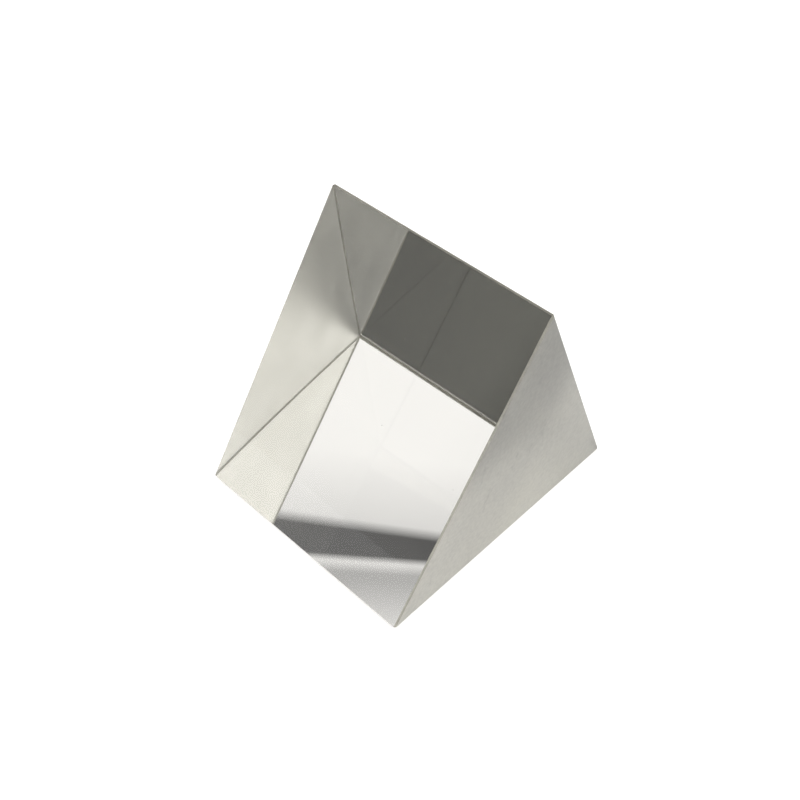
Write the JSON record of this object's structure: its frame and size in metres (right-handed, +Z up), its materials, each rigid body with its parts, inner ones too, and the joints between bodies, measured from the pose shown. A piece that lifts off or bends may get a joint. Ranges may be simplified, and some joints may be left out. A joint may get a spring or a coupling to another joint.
{
  "type": "equilateral dispersing prism",
  "caption": "Solid optical glass block of equilateral triangular section, with polished rectangular faces and ground triangular ends, that bends, reflects and disperses light.",
  "frame": {"origin": "middle of the polished face that the prism lies on, at the level of the surface it rests on", "axes": "+X along the prism's long edges, towards the right ground end; +Y to the rear lower edge; +Z up to the top edge"},
  "size_m": [0.025, 0.0318, 0.0275],
  "materials": {
    "flint_glass": "clear dense flint glass, polished on the rectangular faces, finely ground on the ends and edge bevels"
  },
  "bodies": {
    "root": {"glass_prism": "flint_glass"}
  },
  "joints": []
}
